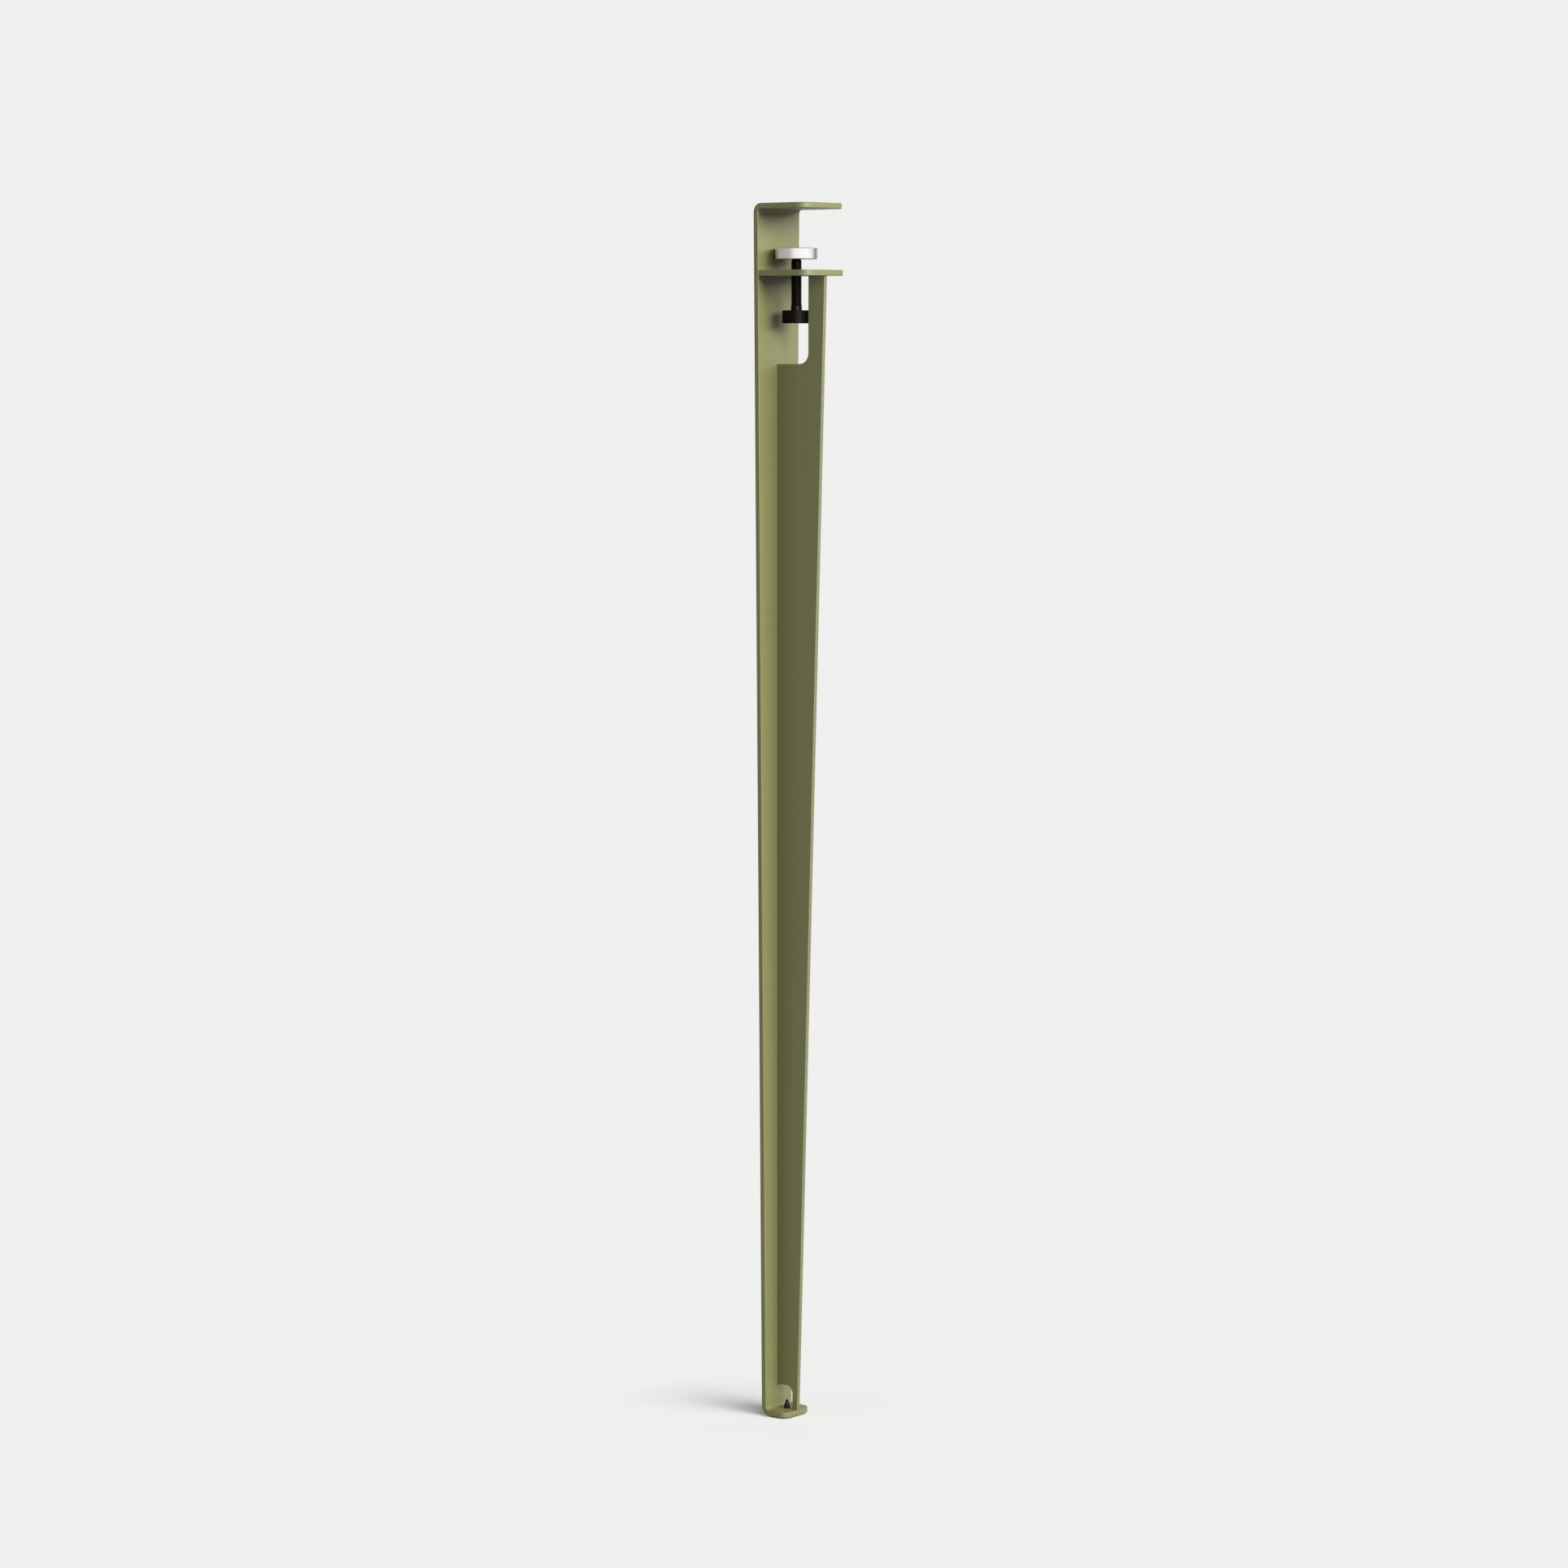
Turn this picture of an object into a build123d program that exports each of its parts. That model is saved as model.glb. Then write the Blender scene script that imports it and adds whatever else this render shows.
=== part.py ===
"""Clamp-on bar table leg: a folded and welded steel T-section with a clamping screw.

Millimetres, +Z up. The origin is on the floor, on the axis of the glide's stud. +X runs from the
spine towards the free ends of the jaw and the shelf, and the leg is symmetric about Y = 0.
"""
import os

from build123d import *

# Spine: one folded sheet, with the jaw above and the foot below
leg_height = 1100.0       # floor to the jaw's top face
sheet = 5.0
bend_radius = 3.0         # inside radius of both folds
jaw_length = 59.0         # spine's outer face to the jaw's free end
jaw_width = 60.0
jaw_corner = 12.0
foot_length = 28.0        # spine's outer face to the foot's free end
foot_width = 38.0
foot_corner = 9.0

# Web: a plate on edge, flush with the foot's free end
web_thickness = 4.0
window_height = 78.2      # shelf's underside to the window's sill
window_corner = 10.0
knob_room = 2.0           # knob to the neck beside it
neck_width = 18.6         # at the shelf
relief_height = 21.3      # foot's top face to the top of the relief
relief_corner = 6.5
stud_room = 4.6           # glide's stud to the ankle beside it
ankle_width = 6.0         # at the foot

# Shelf: a plate welded between the spine and the web's neck
throat = 54.2             # jaw's underside to the shelf's top face
shelf_thickness = 5.0
shelf_width = 58.0
shelf_corner = 12.0
shelf_overhang = 2.4      # past the web's free edge
tap_chamfer = 0.6

# Pressure disc, which swivels on the screw's spigot
disc_diameter = 38.0
disc_height = 10.0
disc_chamfer = 0.5
disc_room = 1.2           # disc to the spine's inner face
disc_lift = 9.7           # disc's underside above the shelf, as the leg stands
disc_roof = 3.4           # metal left above the spigot's hole
swivel_clearance = 0.05   # radial, and under the disc

# Clamp screw, an M10 socket-head screw drawn at its pitch diameter
thread_diameter = 9.03
thread_clearance = 0.05   # radial, in the shelf's tapped hole
thread_length = 41.5
thread_chamfer = 0.6
shank_diameter = 9.8
shank_length = 3.7        # plain shank that shows above the knob
head_diameter = 16.0
head_height = 10.0
key_size = 8.0            # across the flats of the key socket
key_depth = 5.5
spigot_diameter = 6.0
spigot_headroom = 0.6     # free height over the spigot
spigot_chamfer = 0.5

# Knob, pressed over the screw's head
knob_diameter = 25.6
knob_wall = 1.6           # between the screw's head and the knob's top face
knob_chamfer = 0.6
press_gap = 0.02          # radial, between the knob and the screw

# Snap ring, half in the spigot's groove and half in the disc's
ring_wire = 1.0
ring_height = 3.0         # disc's underside to the middle of the ring
ring_clearance = 0.05     # around the wire, in both grooves
ring_opening = 30.0       # degrees of the ring that are left open

# Glide: a pad under the foot, with a barbed stud pushed up through it
pad_thickness = 1.0
pad_inset = 1.8           # from the foot's outline
stem_diameter = 5.0
stem_clearance = 0.1      # radial, in the foot's hole
barb_diameter = 5.4
barb_height = 4.0
tip_height = 4.0
tip_diameter = 1.0

# Places along X
stud_to_foot_end = barb_diameter / 2 + stud_room + ankle_width
foot_end = stud_to_foot_end
outer_face = foot_end - foot_length
inner_face = outer_face + sheet
screw_x = inner_face + disc_room + disc_diameter / 2
neck_face = screw_x + knob_diameter / 2 + knob_room
neck_end = neck_face + neck_width
ankle_face = foot_end - ankle_width

# Heights
foot_under = pad_thickness
foot_top = foot_under + sheet
relief_top = foot_top + relief_height
jaw_under = leg_height - sheet
shelf_top = jaw_under - throat
shelf_under = shelf_top - shelf_thickness
sill = shelf_under - window_height
disc_under = shelf_top + disc_lift
disc_top = disc_under + disc_height
spigot_roof = disc_top - disc_roof
spigot_top = spigot_roof - spigot_headroom
shoulder = disc_under - swivel_clearance
shank_top = shoulder - thread_length
knob_top = shank_top - shank_length
head_top = knob_top - knob_wall
head_under = head_top - head_height

# Ring and its grooves
ring_radius = (spigot_diameter + swivel_clearance) / 2
ring_middle = disc_under + ring_height
groove_reach = ring_wire / 2 + ring_clearance
groove_low = ring_middle - groove_reach
groove_high = ring_middle + groove_reach

# Axis of the screw, and the plane of the turned pieces' half sections
screw_axis = Axis((screw_x, 0, 0), (0, 0, 1))
screw_section = Plane((screw_x, 0, 0), x_dir=(1, 0, 0), z_dir=(0, -1, 0))

os.makedirs("parts", exist_ok=True)

# Spine: the folded section, cut to the strip's taper and rounded at its free ends
with BuildPart() as spine:
    with BuildSketch(Plane.XZ):
        with BuildLine():
            FilletPolyline(
                (foot_end, foot_under),
                (outer_face, foot_under),
                (outer_face, leg_height),
                (outer_face + jaw_length, leg_height),
                radius=bend_radius + sheet,
            )
            offset(amount=sheet, side=Side.RIGHT)
        make_face()
    extrude(amount=max(jaw_width, foot_width), both=True)
    with BuildSketch(Plane.YZ):
        with BuildLine():
            Polyline(
                (0, foot_under),
                (foot_width / 2, foot_under),
                (foot_width / 2, foot_top),
                (jaw_width / 2, jaw_under),
                (jaw_width / 2, leg_height),
                (0, leg_height),
            )
            mirror(about=Plane.YZ)
        make_face()
    extrude(amount=2 * (jaw_length + foot_length), both=True, mode=Mode.INTERSECT)
    free_corners = spine.edges().filter_by(Axis.Z).group_by(Axis.Z)
    fillet(free_corners[0], radius=foot_corner)
    fillet(free_corners[-1], radius=jaw_corner)
    with Locations((0, 0, foot_top)):
        Hole(radius=stem_diameter / 2 + stem_clearance, depth=sheet)
spine.part.label = "spine"
export_step(spine.part, "parts/spine.step")

# Web: the plate's outline, with the window above and the relief below
with BuildPart() as web:
    with BuildSketch(Plane.XZ) as web_outline:
        with BuildLine():
            Polyline(
                (inner_face, relief_top),
                (ankle_face, relief_top),
                (ankle_face, foot_top),
                (foot_end, foot_top),
                (neck_end, shelf_under),
                (neck_face, shelf_under),
                (neck_face, sill),
                (inner_face, sill),
                close=True,
            )
        make_face()
        levels = web_outline.vertices().group_by(Axis.Y)
        fillet(levels[1].sort_by(Axis.X)[-1], radius=relief_corner)
        fillet(levels[2].sort_by(Axis.X)[-1], radius=window_corner)
    extrude(amount=web_thickness / 2, both=True)
web.part.label = "web"
export_step(web.part, "parts/web.step")

# Shelf: square against the spine, rounded at its free end, tapped for the screw
with BuildPart() as shelf:
    with BuildSketch(Plane.XY.offset(shelf_under)) as shelf_outline:
        with Locations((inner_face, 0)):
            shelf_length = neck_end + shelf_overhang - inner_face
            Rectangle(shelf_length, shelf_width, align=(Align.MIN, Align.CENTER))
        fillet(shelf_outline.vertices().group_by(Axis.X)[-1], radius=shelf_corner)
    extrude(amount=shelf_thickness)
    with Locations((screw_x, 0, shelf_top)):
        Hole(radius=thread_diameter / 2 + thread_clearance, depth=shelf_thickness)
    chamfer(shelf.edges().filter_by(GeomType.CIRCLE).sort_by(SortBy.RADIUS)[:2], length=tap_chamfer)
shelf.part.label = "shelf"
export_step(shelf.part, "parts/shelf.step")

# Clamp screw: turned as one from head to spigot, with the ring's groove and a key socket
with BuildPart() as clamp_screw:
    with BuildSketch(screw_section):
        with BuildLine():
            Polyline(
                (0, head_under),
                (head_diameter / 2, head_under),
                (head_diameter / 2, head_top),
                (shank_diameter / 2, head_top),
                (shank_diameter / 2, shank_top),
                (thread_diameter / 2, shank_top),
                (thread_diameter / 2, shoulder - thread_chamfer),
                (thread_diameter / 2 - thread_chamfer, shoulder),
                (spigot_diameter / 2, shoulder),
                (spigot_diameter / 2, groove_low),
                (ring_radius - groove_reach, groove_low),
                (ring_radius - groove_reach, groove_high),
                (spigot_diameter / 2, groove_high),
                (spigot_diameter / 2, spigot_top - spigot_chamfer),
                (spigot_diameter / 2 - spigot_chamfer, spigot_top),
                (0, spigot_top),
                close=True,
            )
        make_face()
    revolve(axis=screw_axis)
    with BuildSketch(Plane((screw_x, 0, head_under))):
        RegularPolygon(radius=key_size / 2, side_count=6, major_radius=False)
    extrude(amount=key_depth, mode=Mode.SUBTRACT)
clamp_screw.part.label = "clamp_screw"
export_step(clamp_screw.part, "parts/clamp_screw.step")

# Knob: a cup over the screw's head, open below for the key
with BuildPart() as hand_knob:
    with BuildSketch(Plane((screw_x, 0, head_under))):
        Circle(knob_diameter / 2)
    extrude(amount=knob_top - head_under)
    chamfer(hand_knob.edges().filter_by(GeomType.CIRCLE), length=knob_chamfer)
    with Locations(Plane((screw_x, 0, head_under), z_dir=(0, 0, -1))):
        CounterBoreHole(
            radius=shank_diameter / 2 + press_gap,
            counter_bore_radius=head_diameter / 2 + press_gap,
            counter_bore_depth=head_height,
        )
hand_knob.part.label = "hand_knob"
export_step(hand_knob.part, "parts/hand_knob.step")

# Pressure disc: turned, with a blind hole and a ring groove for the spigot
with BuildPart() as pressure_disc:
    with BuildSketch(screw_section) as disc_section:
        with BuildLine():
            Polyline(
                (0, spigot_roof),
                (spigot_diameter / 2 + swivel_clearance, spigot_roof),
                (spigot_diameter / 2 + swivel_clearance, groove_high),
                (ring_radius + groove_reach, groove_high),
                (ring_radius + groove_reach, groove_low),
                (spigot_diameter / 2 + swivel_clearance, groove_low),
                (spigot_diameter / 2 + swivel_clearance, disc_under),
                (disc_diameter / 2, disc_under),
                (disc_diameter / 2, disc_top),
                (0, disc_top),
                close=True,
            )
        make_face()
        chamfer(disc_section.vertices().group_by(Axis.X)[-1], length=disc_chamfer)
    revolve(axis=screw_axis)
pressure_disc.part.label = "pressure_disc"
export_step(pressure_disc.part, "parts/pressure_disc.step")

# Snap ring: a round wire bent into an open ring
with BuildPart() as disc_snap_ring:
    with BuildSketch(screw_section):
        with Locations((ring_radius, ring_middle)):
            Circle(ring_wire / 2)
    revolve(axis=screw_axis, revolution_arc=360 - ring_opening)
disc_snap_ring.part.label = "disc_snap_ring"
export_step(disc_snap_ring.part, "parts/disc_snap_ring.step")

# Glide: a rounded pad, with a stem through the foot and a pointed barb above it
with BuildPart() as foot_glide:
    with BuildSketch():
        RectangleRounded(
            2 * (stud_to_foot_end - pad_inset),
            foot_width - 2 * pad_inset,
            foot_corner - pad_inset,
        )
    extrude(amount=pad_thickness)
    with BuildSketch(Plane.XZ):
        with BuildLine():
            Polyline(
                (0, foot_under),
                (stem_diameter / 2, foot_under),
                (stem_diameter / 2, foot_top),
                (barb_diameter / 2, foot_top),
                (barb_diameter / 2, foot_top + barb_height),
                (tip_diameter / 2, foot_top + barb_height + tip_height),
                (0, foot_top + barb_height + tip_height),
                close=True,
            )
        make_face()
    revolve(axis=Axis.Z)
foot_glide.part.label = "foot_glide"
export_step(foot_glide.part, "parts/foot_glide.step")
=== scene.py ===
"""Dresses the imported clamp-on table leg: coated sheet, threaded screw, knurled knob, turned disc."""
import math

import bmesh
import bpy
from bpy.props import FloatProperty, FloatVectorProperty, IntProperty, PointerProperty
from mathutils import Matrix, Vector


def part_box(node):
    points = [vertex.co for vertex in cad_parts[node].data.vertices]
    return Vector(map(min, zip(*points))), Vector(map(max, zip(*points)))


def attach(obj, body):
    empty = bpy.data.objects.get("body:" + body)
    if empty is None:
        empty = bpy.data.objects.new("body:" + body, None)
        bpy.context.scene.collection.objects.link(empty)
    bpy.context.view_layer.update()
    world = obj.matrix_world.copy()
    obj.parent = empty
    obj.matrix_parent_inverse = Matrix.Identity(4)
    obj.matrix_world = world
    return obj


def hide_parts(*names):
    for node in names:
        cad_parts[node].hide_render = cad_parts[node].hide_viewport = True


bl_info = {
    "name": "Clamp-on Table Leg",
    "version": (1, 0, 0),
    "blender": (4, 5, 0),
    "location": "View3D > Sidebar > Table leg",
    "description": "Models and finishes a clamp-on table leg round its packed frame",
    "category": "Object",
}

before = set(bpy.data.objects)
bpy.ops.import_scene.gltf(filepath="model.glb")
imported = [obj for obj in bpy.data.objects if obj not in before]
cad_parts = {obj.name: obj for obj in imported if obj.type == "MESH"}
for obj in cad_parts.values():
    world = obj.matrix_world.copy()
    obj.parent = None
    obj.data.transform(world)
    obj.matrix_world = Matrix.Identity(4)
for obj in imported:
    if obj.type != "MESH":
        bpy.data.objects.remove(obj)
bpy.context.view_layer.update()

SPINE_LOW, SPINE_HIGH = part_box("spine")
WEB_LOW, WEB_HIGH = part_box("web")
SHELF_LOW, SHELF_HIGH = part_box("shelf")
SCREW_LOW, SCREW_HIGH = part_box("clamp_screw")
KNOB_LOW, KNOB_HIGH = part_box("hand_knob")
DISC_LOW, DISC_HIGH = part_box("pressure_disc")
GLIDE_LOW, GLIDE_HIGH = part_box("foot_glide")
SCREW_AXIS = (SCREW_LOW + SCREW_HIGH) / 2

FLOOR_SEGMENTS = 96
MERGE_DISTANCE = 1e-7

# Winding the thread rounds its heights by a few micrometres, so its turns meet within this
THREAD_MERGE_DISTANCE = 1e-5

# Edges that turn more than the first angle are rounded, and more than the second are shaded sharp
SHARP_ANGLE = math.radians(50)
SMOOTH_ANGLE = math.radians(40)

# Room between the disc and the screw's end
SWIVEL_GAP = 0.00005

# The thread's flank angle, its crest as a share of the pitch, the slope of its run-out, and the
# turns that are wound below it and cut off
THREAD_FLANK = math.radians(30)
THREAD_CREST = 0.125
THREAD_RUN_OUT = 0.5
THREAD_SPARE_TURNS = 2

# The curve of the stud's point, as a power of the climb, and its number of steps
POINT_CURVE = 1.3
POINT_STEPS = 4


def length(name, description, default):
    """A size in metres that the sidebar shows in the scene's units."""
    return FloatProperty(
        name=name, description=description, default=default, min=0.0, precision=5, unit="LENGTH"
    )


def colour(name, description, default):
    """A colour that the sidebar shows as a swatch."""
    return FloatVectorProperty(
        name=name, description=description, default=default, min=0.0, max=1.0, size=3, subtype="COLOR"
    )


def count(name, description, default):
    """A number of copies or segments."""
    return IntProperty(name=name, description=description, default=default, min=1)


def share(name, description, default):
    """A plain number, such as a strength or a roughness."""
    return FloatProperty(name=name, description=description, default=default, min=0.0, precision=4)


class SheetSizes(bpy.types.PropertyGroup):
    """Sizes of the folded spine, the web and the shelf."""

    sheet: length("Sheet", "Thickness of the folded sheet", WEB_LOW.z - SPINE_LOW.z)
    bend: length("Bend", "Inside radius of both folds", 0.003)
    jaw_corner: length("Jaw corner", "Radius of the jaw's free corners", 0.012)
    foot_length: length("Foot length", "Outer face of the spine to the foot's free end", 0.028)
    foot_width: length("Foot width", "Width of the foot and of the strip's lower end", 0.038)
    foot_corner: length("Foot corner", "Radius of the foot's free corners", 0.009)
    stud_hole: length("Stud hole", "Radius of the hole for the glide's stud", 0.0026)
    relief_height: length("Relief height", "Foot's top face to the top of the web's relief", 0.0213)
    relief_corner: length("Relief corner", "Radius in the web's relief", 0.0065)
    ankle: length("Ankle", "Width of the web where it meets the foot", 0.006)
    window_height: length("Window height", "Shelf's underside to the window's sill", 0.0782)
    window_corner: length("Window corner", "Radius in the web's window", 0.010)
    neck: length("Neck", "Width of the web where it meets the shelf", 0.0186)
    shelf_corner: length("Shelf corner", "Radius of the shelf's free corners", 0.012)
    tapped_hole: length("Tapped hole", "Radius of the shelf's hole for the screw", 0.00505)
    softness: length("Edge softness", "Rounding that the coating gives every edge", 0.0007)
    seat: length("Seat", "How far a welded edge sinks in, so that the coating closes the joint", 0.001)
    segments: count("Corner segments", "Facets in each rounded corner", 14)


class ClampSizes(bpy.types.PropertyGroup):
    """Sizes of the screw, the knob and the pressure disc."""

    pitch: length("Pitch", "Rise of the thread in one turn", 0.0015)
    crest: length("Crest", "Radius of the thread's crest", 0.00495)
    root: length("Root", "Radius of the thread's root", 0.0043)
    shank: length("Shank", "Radius of the plain shank", 0.0049)
    shank_top: length("Shank top", "Height at which the thread begins", 1.00895)
    shoulder: length("Shoulder", "Height of the screw's upper shoulder", DISC_LOW.z - SWIVEL_GAP)
    head_height: length("Head height", "Height of the screw's head", 0.010)
    head_chamfer: length("Head chamfer", "Chamfer on the head's lower edge", 0.0004)
    key: length("Key", "Across the flats of the key socket", 0.008)
    key_depth: length("Key depth", "Depth of the key socket", 0.0055)
    spigot: length("Spigot", "Radius of the spigot in the disc", 0.003)
    groove: length("Groove", "Middle of the snap ring's groove above the disc's underside", 0.003)
    groove_reach: length("Groove reach", "Half the groove's height, and its depth", 0.00055)
    disc_roof: length("Disc roof", "Metal left above the spigot's hole", 0.0034)
    disc_chamfer: length("Disc chamfer", "Chamfer on the disc's edges", 0.0005)
    knob_chamfer: length("Knob chamfer", "Chamfer on the knob's edges", 0.0006)
    knurl_depth: length("Knurl depth", "Depth of the grooves round the knob", 0.00028)
    knurl_teeth: count("Knurl teeth", "Ridges round the knob", 80)
    turn_segments: count("Turn segments", "Facets round a turned piece", 144)
    thread_segments: count("Thread segments", "Facets in one turn of the thread", 36)


class GlideSizes(bpy.types.PropertyGroup):
    """Sizes of the pad under the foot and of its stud."""

    pad: length("Pad", "Thickness of the pad", SPINE_LOW.z)
    pad_corner: length("Pad corner", "Radius of the pad's corners", 0.0072)
    stem: length("Stem", "Radius of the stem in the foot's hole", 0.0025)
    barb: length("Barb", "Radius of the barb above the foot", 0.0027)
    barb_height: length("Barb height", "Foot's top face to the start of the point", 0.004)
    notch: length("Notch", "Depth and height of the step under the point", 0.0004)
    tip: length("Tip", "Radius of the blunt tip", 0.0005)
    segments: count("Stud segments", "Facets round the stud", 48)


class Finishes(bpy.types.PropertyGroup):
    """Colours of the finishes."""

    coating: colour("Coating", "Olive of the powder coat", (0.281, 0.281, 0.1045))
    coating_deep: colour("Deep coating", "Darker olive of the coat's slow drift", (0.269, 0.269, 0.0985))
    black_steel: colour("Black steel", "Blackened steel of the screw and the knob", (0.006, 0.005, 0.0042))
    aluminium: colour("Aluminium", "Turned aluminium of the disc", (0.86, 0.86, 0.87))
    spring_steel: colour("Spring steel", "Wire of the snap ring", (0.45, 0.45, 0.45))
    nylon: colour("Nylon", "Black nylon of the glide", (0.0045, 0.0044, 0.0048))


class StageSettings(bpy.types.PropertyGroup):
    """View, lamps and floor."""

    azimuth: FloatProperty(
        name="Azimuth", description="Turn of the camera round the leg",
        default=math.radians(38.57), subtype="ANGLE",
    )
    elevation: FloatProperty(
        name="Elevation", description="Height of the camera above the horizon, as an angle",
        default=math.radians(5.62), subtype="ANGLE",
    )
    distance: length("Distance", "Camera to the point that it looks at", 4.0214)
    target: FloatVectorProperty(
        name="Target", description="Point that the camera looks at",
        default=(-0.00796, 0.00537, 0.579), size=3, subtype="TRANSLATION",
    )
    lens: FloatProperty(name="Lens", description="Focal length in millimetres", default=102.0)
    sensor: FloatProperty(name="Sensor", description="Sensor width in millimetres", default=36.0)
    lamp_distance: length("Lamp distance", "Leg to each lamp", 14.0)
    lamp_aim: length("Lamp aim", "Height that the lamps point at", 0.6)
    floor: colour("Floor", "Pale floor", (0.86, 0.86, 0.855))
    floor_radius: length("Floor radius", "Middle of the floor to its rim", 2.0)
    floor_fade: length("Floor fade", "Radius at which the floor becomes the backdrop", 0.18)
    floor_gain: share("Floor gain", "Brightness of the floor round the foot, in floor colours", 1.9)
    backdrop: colour("Backdrop", "Pale backdrop", (0.868, 0.868, 0.862))
    front_fill: share("Front fill", "Soft light from the left in front", 1.3)
    back_fill: share("Back fill", "Soft light from behind on the right", 0.4)
    ambient: share("Ambient", "Soft light from all round", 0.02)


class Wire:
    """A shader socket that adds Math nodes as it is used in Python expressions."""

    def __init__(self, shader, socket):
        self.shader = shader
        self.socket = socket

    def math(self, operation, first, second):
        return self.shader.add("ShaderNodeMath", {"operation": operation}, {0: first, 1: second})

    def __add__(self, other):
        return self.math("ADD", self, other)

    def __radd__(self, other):
        return self.math("ADD", other, self)

    def __sub__(self, other):
        return self.math("SUBTRACT", self, other)

    def __rsub__(self, other):
        return self.math("SUBTRACT", other, self)

    def __mul__(self, other):
        return self.math("MULTIPLY", self, other)

    def __rmul__(self, other):
        return self.math("MULTIPLY", other, self)


class Shader:
    """A node tree, with one method that adds any node to it."""

    def __init__(self, owner):
        owner.use_nodes = True
        self.owner = owner
        self.tree = owner.node_tree
        self.tree.nodes.clear()

    def add(self, kind, settings=None, sockets=None, out=0):
        """Adds a node, sets it up, fills or links its sockets and returns one output."""
        node = self.tree.nodes.new(kind)
        for name, value in (settings or {}).items():
            if name == "stops":
                self.set_stops(node.color_ramp, value)
            else:
                setattr(node, name, value)
        for key, value in (sockets or {}).items():
            socket = self.find(node.inputs, key)
            if isinstance(value, Wire):
                self.tree.links.new(value.socket, socket)
            else:
                socket.default_value = value
        return Wire(self, self.find(node.outputs, out)) if len(node.outputs) else None

    @staticmethod
    def find(sockets, key):
        """The socket at a place in the list, or of that identifier or name."""
        if isinstance(key, int):
            return sockets[key]
        return next(socket for socket in sockets if key in (socket.identifier, socket.name))

    @staticmethod
    def set_stops(ramp, stops):
        """Gives a ramp grey stops."""
        while len(ramp.elements) < len(stops):
            ramp.elements.new(1.0)
        for element, (position, value) in zip(ramp.elements, stops):
            element.position = position
            element.color = (value, value, value, 1.0)

    def place(self):
        """The piece's own coordinates, in metres."""
        return self.add("ShaderNodeTexCoord", out="Object")

    def noise(self, scale, detail):
        """Soft noise in the piece's own coordinates."""
        return self.add(
            "ShaderNodeTexNoise",
            {"noise_dimensions": "3D"},
            {"Vector": self.place(), "Scale": scale, "Detail": detail},
        )

    def blend(self, factor, first, second):
        """A colour between two others."""
        return self.add(
            "ShaderNodeMix",
            {"data_type": "RGBA"},
            {"Factor_Float": factor, "A_Color": first, "B_Color": second},
            out="Result_Color",
        )

    def bump(self, height, distance):
        """A normal that a height bends, with the height's reach in metres."""
        return self.add("ShaderNodeBump", None, {"Height": height, "Distance": distance})

    def unbounced(self):
        """1 for a ray that hasn't left a matt face on its way here, otherwise 0."""
        bounces = self.add("ShaderNodeLightPath", out="Diffuse Depth")
        return 1 - bounces.math("MINIMUM", bounces, 1.0)

    def surface(self, sockets):
        """Closes a material with one principled shader."""
        shade = self.add("ShaderNodeBsdfPrincipled", None, sockets)
        self.add("ShaderNodeOutputMaterial", None, {"Surface": shade})
        return self.owner


def opaque(rgb, gain=1.0):
    """A colour with full alpha, made lighter or darker."""
    return (rgb[0] * gain, rgb[1] * gain, rgb[2] * gain, 1.0)


def once(name, make):
    """The material of that name, made the first time that it is asked for."""
    return bpy.data.materials.get(name) or make(Shader(bpy.data.materials.new(name)))


def olive_powder_coat(finishes):
    """Satin coat with a fine orange peel and a slow drift of colour."""

    def make(shader):
        drift = shader.noise(scale=11.0, detail=3.0)
        peel = shader.noise(scale=620.0, detail=1.0)
        grain = shader.noise(scale=2600.0, detail=2.0)
        return shader.surface({
            "Base Color": shader.blend(drift, opaque(finishes.coating), opaque(finishes.coating_deep)),
            "Roughness": 0.46 + 0.10 * grain + 0.04 * peel,
            "Specular IOR Level": 0.7,
            "Normal": shader.bump(0.7 * peel + 0.3 * grain, distance=0.00006),
        })

    return once("olive_powder_coat", make)


def blackened_steel(finishes, clamp):
    """Dark oxide with fine mottling, polished on the rolled shank above the knob."""

    def make(shader):
        mottle = shader.noise(scale=900.0, detail=4.0)
        grain = shader.noise(scale=5200.0, detail=2.0)
        height = shader.add("ShaderNodeSeparateXYZ", None, {0: shader.place()}, out="Z")
        above_knob = height.math("GREATER_THAN", height, KNOB_HIGH.z)
        in_thread = height.math("GREATER_THAN", height, clamp.shank_top)
        rolled = above_knob - in_thread
        return shader.surface({
            "Base Color": shader.blend(
                mottle, opaque(finishes.black_steel, 0.7), opaque(finishes.black_steel, 1.5)
            ),
            "Roughness": 0.36 + 0.16 * mottle,
            "Specular IOR Level": 0.045,
            "Coat Weight": 0.08 * rolled,
            "Coat Roughness": 0.3,
            "Normal": shader.bump(grain, distance=0.00003),
        })

    return once("blackened_steel", make)


def turned_aluminium(finishes):
    """Bright metal with the rings that a turning tool leaves about the screw's axis."""

    def make(shader):
        centred = shader.add(
            "ShaderNodeMapping",
            {"vector_type": "POINT"},
            {"Vector": shader.place(), "Location": (-SCREW_AXIS.x, -SCREW_AXIS.y, 0.0)},
        )
        rings = shader.add(
            "ShaderNodeTexWave",
            {"wave_type": "RINGS", "rings_direction": "SPHERICAL", "wave_profile": "SAW"},
            {"Vector": centred, "Scale": 900.0, "Distortion": 0.4, "Detail": 1.0},
            out="Fac",
        )
        cloud = shader.noise(scale=420.0, detail=3.0)
        return shader.surface({
            "Base Color": shader.blend(cloud, opaque(finishes.aluminium, 0.97), opaque(finishes.aluminium)),
            "Metallic": 1.0,
            "Roughness": 0.08 + 0.04 * cloud + 0.02 * rings,
            "Normal": shader.bump(rings, distance=0.000004),
        })

    return once("turned_aluminium", make)


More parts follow.
